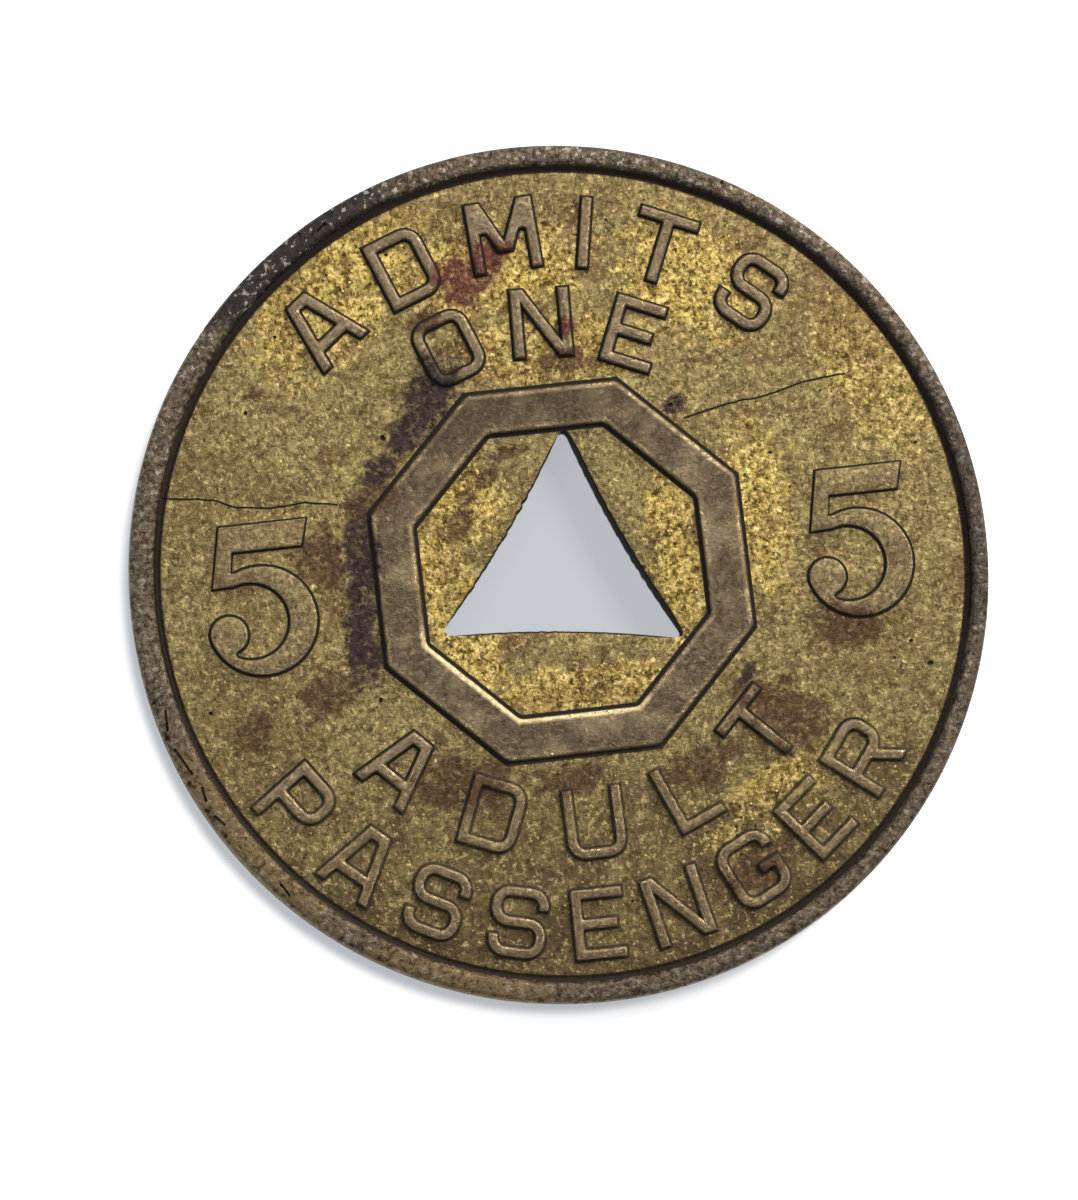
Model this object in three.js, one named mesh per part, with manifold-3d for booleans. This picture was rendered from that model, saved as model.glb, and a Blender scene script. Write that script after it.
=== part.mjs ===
// A struck brass fare token, lying flat with one face up.
// It is one piece of metal: a round blank, squeezed between two dies that raise
// the rim, an octagonal frame, four rows of letters and a numeral at each side,
// and then punched through with a three-sided hole.
// Millimetres and degrees. +Z is up, +Y is the top of the design, and the origin
// is the middle of the underside.

import * as THREE from 'three';
import { mergeVertices } from 'three/addons/utils/BufferGeometryUtils.js';
import Module from 'manifold-3d';

// Driving dimensions of the blank and the rim
const DIAMETER = 23.0;
const THICKNESS = 1.3;
const RIM_HEIGHT = 0.22;
const RIM_WIDTH = 0.6;
const RIM_ROUNDING = 0.13;
const GROOVE_WIDTH = 0.14;
const GROOVE_DEPTH = 0.03;

// Driving dimensions of the relief, which is the same on both faces
const LETTER_RELIEF = 0.16;
const NUMERAL_RELIEF = 0.09;
const STROKE = 0.35;
const CORNER_RADIUS = 0.35;
const OCTAGON_OUTER_RADIUS = 5.37;
const OCTAGON_INNER_RADIUS = 4.1;

// Driving dimensions of the punched hole, which sits a little off centre and turned:
// from its middle to the corners before they are rounded, and how far each side bows
const HOLE_RADIUS = 3.8;
const HOLE_CORNER_RADIUS = 0.17;
const HOLE_BOW = 0.15;
const HOLE_TURN = -6.8;
const HOLE_PLACE = [0.07, 0.12];

// Four rows of letters: the radius of the feet, the height, and the directions of
// the first and last letter's middle. Rows with a falling direction stand outwards.
const ROWS = [
  { word: 'ADMITS', feet: 8.15, height: 2.0, from: 128.2, to: 49.2 },
  { word: 'ONE', feet: 5.72, height: 1.93, from: 110.4, to: 66.6 },
  { word: 'ADULT', feet: 7.75, height: 1.95, from: 224.0, to: 315.0 },
  { word: 'PASSENGER', feet: 10.4, height: 1.95, from: 215.0, to: 322.0 },
];

// The numeral at each side, by the middle of its outline
const NUMERAL_PLACES = [
  [-8.0, 0.08],
  [8.05, -0.12],
];

// Fineness of the round shapes
const LATHE_STEPS = 96;
const CORNER_STEPS = 2;
const NUMERAL_STEPS = 10;

const RADIUS = DIAMETER / 2;
const FIELD = THICKNESS / 2 - RIM_HEIGHT;   // height of the field above the middle plane
const ROOT = 0.2;                           // how far raised work reaches down into the blank
const OVERSHOOT = 0.5;                      // how far the punch runs past each face

const degrees = THREE.MathUtils.degToRad;
const point = (x, y) => new THREE.Vector2(x, y);
const polar = (radius, angle) =>
  point(radius * Math.cos(degrees(angle)), radius * Math.sin(degrees(angle)));

const wasm = await Module();
wasm.setup();

// ---- Solids ---------------------------------------------------------------

// A closed geometry as a solid that can be joined and cut
function solid(geometry) {
  const bare = geometry.clone();
  bare.deleteAttribute('normal');
  bare.deleteAttribute('uv');
  const merged = mergeVertices(bare, 1e-5);
  return new wasm.Manifold(new wasm.Mesh({
    numProp: 3,
    vertProperties: new Float32Array(merged.attributes.position.array),
    triVerts: new Uint32Array(merged.index.array),
  }));
}

// A solid turned back into a geometry with flat faces
function geometryOf(body) {
  const mesh = body.getMesh();
  const indexed = new THREE.BufferGeometry();
  indexed.setAttribute('position', new THREE.BufferAttribute(mesh.vertProperties, 3));
  indexed.setIndex(new THREE.BufferAttribute(mesh.triVerts, 1));
  const flat = indexed.toNonIndexed();
  flat.computeVertexNormals();
  return flat;
}

// A flat shape raised from one height to another, then put in place
function raised(shape, low, high, place = new THREE.Matrix4()) {
  const options = { depth: high - low, bevelEnabled: false, curveSegments: NUMERAL_STEPS };
  const geometry = new THREE.ExtrudeGeometry(shape, options);
  geometry.translate(0, 0, low);
  geometry.applyMatrix4(place);
  return solid(geometry);
}

// ---- The blank ------------------------------------------------------------

// One face's half of the turned section, from the axis to the middle of the edge
function faceProfile(side) {
  const foot = RADIUS - RIM_WIDTH;
  const crest = THICKNESS / 2;
  return [
    point(0, side * FIELD),
    point(foot - GROOVE_WIDTH / 2, side * FIELD),
    point(foot, side * (FIELD - GROOVE_DEPTH)),
    point(foot + GROOVE_WIDTH / 2, side * (FIELD + GROOVE_DEPTH)),
    point(foot + RIM_ROUNDING, side * (crest - 0.03)),
    point(foot + RIM_ROUNDING + 0.05, side * crest),
    point(RADIUS - RIM_ROUNDING, side * crest),
    point(RADIUS - 0.04, side * (crest - 0.04)),
    point(RADIUS, side * (crest - RIM_ROUNDING)),
  ];
}

function blank() {
  const underside = faceProfile(-1);
  const upside = faceProfile(1).reverse();
  const lathe = new THREE.LatheGeometry([...underside, ...upside], LATHE_STEPS);
  lathe.rotateX(Math.PI / 2);
  return solid(lathe);
}

// ---- Letters --------------------------------------------------------------

// The middle line of a pen stroke as points with the direction across it. A corner
// is [x, y] where the stroke turns sharply, and [x, y, 'soft'] where it turns in an arc.
function penLine(corners, closed) {
  const places = corners.map(([x, y]) => point(x, y));
  const count = places.length;
  const line = [];
  corners.forEach((corner, i) => {
    const here = places[i];
    const before = i > 0 || closed ? places[(i + count - 1) % count] : null;
    const after = i < count - 1 || closed ? places[(i + 1) % count] : null;
    const arriving = (before ? here.clone().sub(before) : after.clone().sub(here)).normalize();
    const leaving = (after ? after.clone().sub(here) : arriving.clone()).normalize();
    const turn = Math.atan2(arriving.cross(leaving), arriving.dot(leaving));
    if (corner[2] === 'soft') {
      line.push(...cornerArc(here, arriving, turn));
    } else {
      const across = point(-arriving.y, arriving.x).rotateAround(point(0, 0), turn / 2);
      line.push({ at: here, across: across.divideScalar(Math.cos(turn / 2)) });
    }
  });
  return line;
}

function cornerArc(corner, arriving, turn) {
  const side = Math.sign(turn);
  const across = point(-arriving.y, arriving.x);
  const reach = CORNER_RADIUS * Math.tan(Math.abs(turn) / 2);
  const centre = corner.clone().addScaledVector(arriving, -reach);
  centre.addScaledVector(across, side * CORNER_RADIUS);
  const arc = [];
  for (let step = 0; step <= CORNER_STEPS; step += 1) {
    const normal = across.clone().rotateAround(point(0, 0), (turn * step) / CORNER_STEPS);
    arc.push({ at: centre.clone().addScaledVector(normal, -side * CORNER_RADIUS), across: normal });
  }
  return arc;
}

// The outline of a pen stroke with flat ends, or the ring of a closed one
function penStroke(corners, closed = false) {
  const line = penLine(corners, closed);
  const left = line.map(({ at, across }) => at.clone().addScaledVector(across, STROKE / 2));
  const right = line.map(({ at, across }) => at.clone().addScaledVector(across, -STROKE / 2));
  if (!closed) {
    return new THREE.Shape([...right, ...left.reverse()]);
  }
  const ring = new THREE.Shape(right);
  ring.holes.push(new THREE.Path(left));
  return ring;
}

// A sloping stroke whose ends are cut level with the letter's head and feet
function slant(x0, y0, x1, y1) {
  const length = Math.hypot(x1 - x0, y1 - y0);
  const half = (STROKE / 2) * (length / Math.abs(y1 - y0));
  return new THREE.Shape([
    point(x0 - half, y0), point(x0 + half, y0),
    point(x1 + half, y1), point(x1 - half, y1),
  ]);
}

const LETTER_WIDTHS = {
  A: 1.75, D: 1.6, E: 1.45, G: 1.65, I: STROKE, L: 1.4, M: 1.9,
  N: 1.65, O: 1.65, P: 1.55, R: 1.6, S: 1.6, T: 1.7, U: 1.65,
};

// The strokes of one letter, with its feet on y = 0 and its middle on x = 0
function letterStrokes(letter, height) {
  const half = LETTER_WIDTHS[letter] / 2;
  const right = half - STROKE / 2;
  const left = -right;
  const foot = STROKE / 2;
  const head = height - STROKE / 2;
  const middle = height / 2;
  const waist = 0.45 * height;
  const hook = 0.22 * height;
  const bowl = [[left, 0], [left, head], [right, head, 'soft'], [right, waist, 'soft'], [left, waist]];
  const apex = 0.17;
  const shapes = {
    A: () => [
      slant(left, 0, -apex, height),
      slant(right, 0, apex, height),
      penStroke([[left / 2, 0.6], [right / 2, 0.6]]),
      penStroke([[-apex, head], [apex, head]]),
    ],
    D: () => [penStroke([[left, foot], [right, foot, 'soft'], [right, head, 'soft'], [left, head]], true)],
    E: () => [
      penStroke([[half, head], [left, head], [left, foot], [half, foot]]),
      penStroke([[left, middle], [0.75 * half, middle]]),
    ],
    G: () => [penStroke([
      [right, head - hook], [right, head, 'soft'], [left, head, 'soft'], [left, foot, 'soft'],
      [right, foot, 'soft'], [right, waist], [0.1, waist],
    ])],
    I: () => [penStroke([[0, 0], [0, height]])],
    L: () => [penStroke([[left, height], [left, foot], [half, foot]])],
    M: () => [
      penStroke([[left, 0], [left, height]]),
      penStroke([[right, 0], [right, height]]),
      slant(0, hook, left, height),
      slant(0, hook, right, height),
    ],
    N: () => [
      penStroke([[left, 0], [left, height]]),
      penStroke([[right, 0], [right, height]]),
      slant(right, 0, left, height),
    ],
    O: () => [penStroke([
      [left, foot, 'soft'], [right, foot, 'soft'], [right, head, 'soft'], [left, head, 'soft'],
    ], true)],
    P: () => [penStroke(bowl)],
    R: () => [penStroke(bowl), slant(right, 0, 0.1, waist)],
    S: () => [penStroke([
      [right, head - hook], [right, head, 'soft'], [left, head, 'soft'], [left, middle, 'soft'],
      [right, middle, 'soft'], [right, foot, 'soft'], [left, foot, 'soft'], [left, foot + hook],
    ])],
    T: () => [penStroke([[-half, head], [half, head]]), penStroke([[0, 0], [0, head]])],
    U: () => [penStroke([
      [left, height], [left, foot, 'soft'], [right, foot, 'soft'], [right, height],
    ])],
  };
  return shapes[letter]();
}

// The direction of each letter in a row, with equal gaps between the letters
function letterDirections({ word, from, to }, middleRadius) {
  const widths = [...word].map((letter) => LETTER_WIDTHS[letter]);
  const steps = widths.slice(1).map((width, i) => (width + widths[i]) / 2);
  const arc = degrees(Math.abs(to - from)) * middleRadius;
  const gap = (arc - steps.reduce((sum, step) => sum + step, 0)) / steps.length;
  const directions = [from];
  steps.forEach((step, i) => {
    directions.push(directions[i] + ((to - from) * (step + gap)) / arc);
  });
  return directions;
}

// One row of letters on its arc: standing outwards, or hanging with their heads inwards
function letterRow(row) {
  const outwards = row.to < row.from;
  const middleRadius = row.feet + (outwards ? 1 : -1) * (row.height / 2);
  const directions = letterDirections(row, middleRadius);
  return [...row.word].map((letter, i) => {
    const foot = polar(row.feet, directions[i]);
    const place = new THREE.Matrix4().makeRotationZ(degrees(directions[i] + (outwards ? -90 : 90)));
    place.setPosition(foot.x, foot.y, 0);
    return letterStrokes(letter, row.height)
      .map((stroke) => raised(stroke, FIELD - ROOT, FIELD + LETTER_RELIEF, place))
      .reduce((joined, stroke) => joined.add(stroke));
  });
}

// ---- Numerals, octagon and hole -------------------------------------------

// A numeral five, 2.9 wide and 4.2 tall, drawn around the middle of its outline
function numeral([x, y]) {
  const five = new THREE.Shape();
  five.moveTo(-1.3, 0.47);
  five.lineTo(-0.97, 2.07);
  five.lineTo(1.38, 2.07);
  five.lineTo(1.17, 1.3);
  five.lineTo(-0.6, 1.3);
  five.lineTo(-0.74, 0.82);
  five.absarc(-0.07, -0.54, 1.49, degrees(108), degrees(-162), true);
  five.absarc(-0.87, -0.79, 0.54, degrees(170), degrees(-80), true);
  five.absarc(-0.37, -0.53, 0.985, degrees(-142), degrees(100), false);
  five.lineTo(-0.9, 0.33);
  const place = new THREE.Matrix4().makeTranslation(x, y, 0);
  return raised(five, FIELD - ROOT, FIELD + NUMERAL_RELIEF, place);
}

function octagonOutline(radius, kind) {
  const corners = Array.from({ length: 8 }, (_, i) => polar(radius, 22.5 + 45 * i));
  return new kind(corners);
}

function octagonFrame() {
  const frame = octagonOutline(OCTAGON_OUTER_RADIUS, THREE.Shape);
  frame.holes.push(octagonOutline(OCTAGON_INNER_RADIUS, THREE.Path));
  return raised(frame, FIELD - ROOT, FIELD + LETTER_RELIEF);
}

// The three-sided hole: corners rounded, and each side bowed a little inwards
function punch() {
  const outline = new THREE.Shape();
  const inset = HOLE_RADIUS - 2 * HOLE_CORNER_RADIUS;
  for (const direction of [90, 210, 330]) {
    const centre = polar(inset, direction);
    const start = degrees(direction - 60);
    outline.absarc(centre.x, centre.y, HOLE_CORNER_RADIUS, start, start + degrees(120), false);
    const bow = polar(HOLE_RADIUS / 2 - 2 * HOLE_BOW, direction + 60);
    const end = polar(inset, direction + 120).add(polar(HOLE_CORNER_RADIUS, direction + 60));
    outline.quadraticCurveTo(bow.x, bow.y, end.x, end.y);
  }
  const reach = THICKNESS / 2 + OVERSHOOT;
  const place = new THREE.Matrix4().makeRotationZ(degrees(HOLE_TURN));
  place.setPosition(HOLE_PLACE[0], HOLE_PLACE[1], 0);
  return raised(outline, -reach, reach, place);
}

// ---- The token ------------------------------------------------------------

// The raised work of one face, as separate bodies above the middle plane
function faceRelief() {
  return [octagonFrame(), ...NUMERAL_PLACES.map(numeral), ...ROWS.flatMap(letterRow)];
}

function tokenGeometry() {
  const relief = faceRelief().reduce((joined, piece) => joined.add(piece));
  const back = geometryOf(relief);
  back.rotateY(Math.PI);
  const token = blank().add(relief).add(solid(back)).subtract(punch());
  const geometry = geometryOf(token);
  geometry.translate(0, 0, THICKNESS / 2);
  return geometry;
}

const brass = new THREE.MeshStandardMaterial({ color: 0x8c7d4c, roughness: 0.45, metalness: 1.0 });

const token = new THREE.Mesh(tokenGeometry(), brass);
token.name = 'struck_token';

const group = new THREE.Group();
group.add(token);

export default group;
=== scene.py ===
"""A worn struck brass fare token, lying face up on a pale table.

The real thing is one piece of metal: a round blank squeezed between two dies and then punched
through. It is modelled here the way such dies are cut: big, with millimetres as the unit, and
reduced to its real size at the end.
"""
import math
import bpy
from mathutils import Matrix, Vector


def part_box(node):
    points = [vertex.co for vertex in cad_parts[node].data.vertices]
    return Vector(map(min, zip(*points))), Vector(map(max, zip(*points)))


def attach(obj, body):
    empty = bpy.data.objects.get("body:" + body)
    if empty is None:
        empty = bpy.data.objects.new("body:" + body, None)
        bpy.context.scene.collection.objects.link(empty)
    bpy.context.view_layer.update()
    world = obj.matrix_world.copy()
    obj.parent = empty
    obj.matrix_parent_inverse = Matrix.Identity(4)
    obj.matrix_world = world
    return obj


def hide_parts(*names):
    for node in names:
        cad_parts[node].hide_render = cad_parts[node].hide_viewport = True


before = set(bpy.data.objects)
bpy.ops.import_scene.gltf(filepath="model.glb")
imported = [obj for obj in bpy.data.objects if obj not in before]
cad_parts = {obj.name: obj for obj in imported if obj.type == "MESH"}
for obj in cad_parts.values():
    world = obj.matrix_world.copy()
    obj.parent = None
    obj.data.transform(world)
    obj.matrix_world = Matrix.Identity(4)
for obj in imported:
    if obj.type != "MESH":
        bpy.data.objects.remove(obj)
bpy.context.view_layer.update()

from types import SimpleNamespace

import bmesh
import bpy
from mathutils import Matrix, Vector, noise

# ---- Sizes, in millimetres and degrees -----------------------------------------------------

REAL_SIZE = 0.001                                  # metres in one millimetre
BLANK_LOW, BLANK_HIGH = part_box("struck_token")
DIAMETER = (BLANK_HIGH[0] - BLANK_LOW[0]) / REAL_SIZE
THICKNESS = (BLANK_HIGH[2] - BLANK_LOW[2]) / REAL_SIZE
RADIUS = DIAMETER / 2
MIDDLE = THICKNESS / 2

RIM_HEIGHT = 0.22                                  # crest of the rim above the field
FIELD = THICKNESS / 2 - RIM_HEIGHT                 # field above the middle plane
LETTER_RELIEF = 0.16
NUMERAL_RELIEF = 0.10

# The blank's outline goes inwards from its edge, and each slope of raised work goes inwards
# from its foot, in steps of (inwards, upwards)
EDGE_ROUNDING = [(0.015, 0.055), (0.03, 0.045), (0.045, 0.03), (0.06, 0.02), (0.08, 0.01)]
CREST = [(0.17, 0.0)]
RIM_OFF_CENTRE = (0.1, 0, 0)                       # the field's circle against the outer edge
RIM_FALL = [(0.06, -0.01), (0.05, -0.025), (0.045, -0.045), (0.04, -0.06), (0.035, -0.055),
            (0.03, -0.03)]
RIM_FOOT = [(0.03, -0.003), (0.03, 0.003), (0.04, 0.005)]
RIM_FOOT_RADIUS = RADIUS - sum(step[0] for step in EDGE_ROUNDING + CREST + RIM_FALL + RIM_FOOT)
FLARE = [(0.01, 0.003), (0.035, 0.01), (0.012, 0.02)]
LETTER_SLOPE = FLARE + [(0.02, 0.075), (0.018, 0.028), (0.025, 0.015), (0.035, 0.011)]
NUMERAL_FLARE = [(0.01, 0.003), (0.05, 0.011), (0.015, 0.02)]
NUMERAL_SLOPE = NUMERAL_FLARE + [(0.015, 0.042), (0.015, 0.016), (0.03, 0.01)]
OCTAGON_FLARE = [(0.01, 0.003), (0.075, 0.012), (0.015, 0.02)]
OCTAGON_SLOPE = OCTAGON_FLARE + [(0.025, 0.07), (0.03, 0.03), (0.05, 0.018), (0.09, 0.009)]
SUNK = 0.002                                       # foot of a slope below the field
ROOT = 0.15                                        # raised work reaches this far into the blank

PEN = 0.42                                         # stroke width at its foot
PEN_TOP = 0.35                                     # stroke width that the letters are drawn for
SWING = 0.35                                       # radius of a soft corner's middle line
OCTAGON_OUTER, OCTAGON_INNER = 5.46, 4.01          # to the corners, at the foot

HOLE_RADIUS = 3.8                                  # to the corners, before they are rounded
HOLE_CORNER = 0.29                                 # rounding of a corner, along its sides
HOLE_BOW = 0.15                                    # hollow of each side
HOLE_SIDE = HOLE_RADIUS * math.cos(math.radians(30)) - HOLE_CORNER    # half a straight side
HOLE_CUTS = 64                                     # points along a side
HOLE_TORN = {30: 0.035, 150: 0.08, 270: 0.02}      # raggedness of the side in each direction
ROLLED = 0.075                                     # how far down the punch dragged the hole's edge
ROLLED_EDGE = [(0.035, 0.012), (0.025, 0.022), (0.015, 0.034), (THICKNESS, 0.0)]    # up, out
HOLE_TURN = -6.8
HOLE_PLACE = (0.07, 0.12)

# word, radius of the feet, letter height, directions of the first and last letter
ROWS = [
    ("ADMITS", 8.15, 2.0, 128.2, 49.2),
    ("ONE", 5.72, 1.93, 110.4, 66.6),
    ("ADULT", 7.75, 1.95, 224.0, 315.0),
    ("PASSENGER", 10.4, 1.95, 215.0, 322.0),
]
LETTER_WIDTHS = {
    "A": 1.75, "D": 1.6, "E": 1.45, "G": 1.65, "I": 0.35, "L": 1.4, "M": 1.9,
    "N": 1.65, "O": 1.65, "P": 1.55, "R": 1.6, "S": 1.6, "T": 1.7, "U": 1.65,
}
NUMERAL_PLACES = [(-8.0, 0.08), (8.05, -0.12)]

# Wear on the face that lies up: cracks by their corners, pits by place and radius, nicks in
# the rim by direction and width, and gouges along its crest by direction and radius at each end
CRACKS = [
    [(-10.55, 3.08), (-9.6, 2.95), (-9.0, 2.86), (-8.4, 2.6), (-7.5, 2.5), (-6.6, 2.53), (-5.75, 2.4)],
    [(3.75, 3.72), (4.9, 3.98), (6.1, 4.1), (7.1, 4.36), (8.25, 4.47)],
]
PITS = [(-4.35, 4.05, 0.1), (3.42, 4.12, 0.09), (3.6, 4.3, 0.06), (-7.9, 5.1, 0.07), (-3.7, 8.95, 0.06),
        (9.55, -3.55, 0.1), (9.1, -2.9, 0.07), (8.6, -3.3, 0.05), (-5.2, -2.9, 0.08), (5.95, 2.55, 0.06),
        (2.3, 9.3, 0.05), (-9.7, -2.75, 0.07), (-6.9, 7.05, 0.06), (0.8, -8.95, 0.05), (9.9, 2.4, 0.06)]
NICKS = [(191.8, 0.1), (196.9, 0.12), (203.6, 0.15), (207.7, 0.1), (211.9, 0.09), (238, 0.07), (93, 0.05),
         (318, 0.07), (352, 0.06), (61, 0.08), (116.2, 0.08), (121.5, 0.07), (296, 0.06)]
GOUGES = [(193.2, 11.17, 195.9, 11.3), (198.4, 11.33, 202.6, 11.2), (204.7, 11.16, 206.7, 11.27),
          (208.8, 11.3, 210.7, 11.22), (221.5, 11.2, 223.6, 11.28), (117.6, 11.22, 120.4, 11.13)]
CRACK_WIDTH, CRACK_LEVEL = 0.055, FIELD + 0.008
GOUGE_WIDTH, GOUGE_LEVEL = 0.11, MIDDLE - 0.045
NICK_LEVEL = MIDDLE - 0.02
NICK_START, NICK_END = RADIUS - 0.16, RADIUS + 0.1
WAVER = 0.05                                       # how far cracks and gouges stray sideways

# Slow unevenness of the struck field, which fades out before the rim
WAVE_HEIGHT, WAVE_LENGTH = 0.014, 2.4
WAVE_STEP = 0.6
WAVE_REACH = RADIUS - 0.75
WAVE_FADE = 0.5


# ---- Modelling by hand ---------------------------------------------------------------------

def start_fresh():
    """Leaves edit mode and selects nothing, because the imported nodes start selected."""
    if bpy.context.object and bpy.context.object.mode != "OBJECT":
        bpy.ops.object.mode_set(mode="OBJECT")
    bpy.ops.object.select_all(action="DESELECT")


def hold(part):
    """Makes one part the only selected one."""
    start_fresh()
    bpy.context.view_layer.objects.active = part
    part.select_set(True)
    return part


def settle(part):
    """Puts a part's place, turn and scale into its mesh."""
    hold(part)
    bpy.ops.object.transform_apply(location=True, rotation=True, scale=True)
    return part


def edit(part, kind="FACE"):
    hold(part)
    bpy.ops.object.mode_set(mode="EDIT")
    bpy.ops.mesh.select_mode(type=kind)


def done():
    bpy.ops.object.mode_set(mode="OBJECT")


def pick(part, elements, wanted):
    """In edit mode, selects only the faces or edges that a test accepts."""
    bpy.ops.mesh.select_all(action="DESELECT")
    mesh = bmesh.from_edit_mesh(part.data)
    for element in getattr(mesh, elements):
        if wanted(element):
            element.select_set(True)
    bmesh.update_edit_mesh(part.data)


def copy_of(part):
    twin = part.copy()
    twin.data = part.data.copy()
    bpy.context.scene.collection.objects.link(twin)
    return twin


def combine(part, tool, operation):
    """Joins a tool to a part, or cuts the part with it, and removes the tool."""
    hold(part)
    cut = part.modifiers.new("combine", "BOOLEAN")
    cut.operation = operation
    cut.solver = "EXACT"
    cut.object = tool
    bpy.ops.object.modifier_apply(modifier=cut.name)
    bpy.data.objects.remove(tool)
    return part


def united(parts):
    first, *others = parts
    for other in others:
        combine(first, other, "UNION")
    return first


def gathered(parts):
    """Several bodies that don't touch, made one object."""
    start_fresh()
    for part in parts:
        part.select_set(True)
    bpy.context.view_layer.objects.active = parts[0]
    bpy.ops.object.join()
    return bpy.context.object


def steps_inwards(steps, even=True):
    """Insets the selected faces again and again, raising or sinking them each time."""
    for inwards, upwards in steps:
        bpy.ops.mesh.inset(thickness=inwards, depth=upwards, use_even_offset=even)


def facing_up(face):
    return face.normal.z > 0.99


def raise_slopes(body, slope, rounding, even=True):
    """Turns a flat-topped body into raised work: sloping sides, round shoulders, soft corners."""
    clear_seams(body)
    edit(body)
    pick(body, "faces", facing_up)
    steps_inwards(slope, even)
    bpy.ops.mesh.select_mode(type="EDGE")
    pick(body, "edges", is_ridge)
    bpy.ops.mesh.bevel(offset=rounding, segments=2, clamp_overlap=True)
    done()
    return body


def clear_seams(body):
    """Clears what joining leaves, so that the top has points only round its outline."""
    edit(body)
    bpy.ops.mesh.select_all(action="SELECT")
    bpy.ops.mesh.remove_doubles(threshold=0.002)
    bpy.ops.mesh.dissolve_limited(angle_limit=math.radians(1))
    bpy.ops.mesh.select_all(action="SELECT")
    bpy.ops.mesh.delete_loose(use_edges=True)
    done()
    if sum(facing_up(face) for face in body.data.polygons) > 1:
        renew_top(body)


def renew_top(body):
    """Fills the top again, where it goes round a counter and so can't be one face."""
    edit(body)
    pick(body, "faces", facing_up)
    bpy.ops.mesh.delete(type="FACE")
    bpy.ops.mesh.select_all(action="SELECT")
    bpy.ops.mesh.dissolve_limited(angle_limit=math.radians(1))
    bpy.ops.mesh.select_mode(type="EDGE")
    bpy.ops.mesh.select_all(action="DESELECT")
    bpy.ops.mesh.select_non_manifold()
    bpy.ops.mesh.fill()
    bpy.ops.mesh.select_all(action="SELECT")
    bpy.ops.mesh.normals_make_consistent(inside=False)
    done()


def is_ridge(edge):
    """A corner that climbs from the foot to the top, or stands upright below it."""
    along = (edge.verts[1].co - edge.verts[0].co).normalized()
    return abs(along.z) > 0.1 and edge.calc_face_angle(0) > math.radians(25)


# ---- The blank -----------------------------------------------------------------------------

def blank():
    """The turned blank: both faces sink from a round rim, past a fine groove, to the field."""
    rounding = sum(upwards for inwards, upwards in EDGE_ROUNDING)
    bpy.ops.mesh.primitive_cylinder_add(
        vertices=256, radius=RADIUS, depth=THICKNESS - 2 * rounding, end_fill_type="NGON")
    body = bpy.context.object
    edit(body)
    pick(body, "faces", lambda face: abs(face.normal.z) > 0.99)
    steps_inwards(EDGE_ROUNDING + CREST)
    bpy.ops.transform.translate(value=RIM_OFF_CENTRE)
    steps_inwards(RIM_FALL + RIM_FOOT)
    done()
    return body


# ---- Letters -------------------------------------------------------------------------------

FOOT_LEVEL = FIELD - SUNK
ROOT_LEVEL = FIELD - ROOT


def bar(start, end, width=PEN):
    """A straight stroke, square at both ends."""
    start, end = Vector(start), Vector(end)
    run = end - start
    middle = (start + end) / 2
    bpy.ops.mesh.primitive_cube_add(
        size=1,
        location=(middle.x, middle.y, (FOOT_LEVEL + ROOT_LEVEL) / 2),
        rotation=(0, 0, math.atan2(run.y, run.x)),
        scale=(run.length, width, FOOT_LEVEL - ROOT_LEVEL))
    return settle(bpy.context.object)


def slant(foot_x, foot_y, head_x, head_y, width=None):
    """A sloping stroke with level ends: a block whose head is slid sideways."""
    rise = head_y - foot_y
    if width is None:
        width = PEN * math.hypot(head_x - foot_x, rise) / rise
    body = bar((foot_x, foot_y), (foot_x, head_y), width)
    edit(body)
    pick(body, "faces", lambda face: face.normal.y > 0.9)
    bpy.ops.transform.translate(value=(head_x - foot_x, 0, 0))
    done()
    return body


def stroke(route):
    """A pen stroke. At a soft corner its end is spun round the corner and pushed on."""
    points = [Vector(stop[:2]) for stop in route]
    soft = [len(stop) > 2 for stop in route]
    last = len(points) - 1
    bodies = []
    for i in range(last):
        heading = (points[i + 1] - points[i]).normalized()
        if soft[i + 1]:
            end = points[i + 1] - heading * SWING
        else:
            end = points[i + 1] + heading * (PEN / 2 if i + 1 < last else 0)
        if soft[i]:
            tip = points[i] + heading * SWING
            push_end(bodies[-1], tip, end - tip)
        else:
            begin = points[i] - heading * (PEN / 2 if i > 0 else 0)
            bodies.append(bar(begin, end))
        if soft[i + 1]:
            swing_end(bodies[-1], end, heading, (points[i + 2] - points[i + 1]).normalized())
    return bodies


def pick_end(body, tip):
    """Selects the end face of a stroke, by where the stroke has got to."""
    pick(body, "faces", lambda face: (face.calc_center_median().xy - tip).length < 0.01)


def push_end(body, tip, run):
    """Extrudes a stroke's end straight on."""
    if run.length < 0.01:
        return
    edit(body)
    pick_end(body, tip)
    bpy.ops.mesh.extrude_region_move(TRANSFORM_OT_translate={"value": (run.x, run.y, 0)})
    done()


def swing_end(body, tip, heading, next_heading):
    """Spins a stroke's end round a soft corner, to face the next way."""
    turn = heading.angle_signed(next_heading)      # clockwise is positive
    centre = tip + next_heading * SWING
    edit(body)
    pick_end(body, tip)
    bpy.ops.mesh.spin(steps=6, angle=turn, center=(centre.x, centre.y, 0), axis=(0, 0, 1))
    done()


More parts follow.
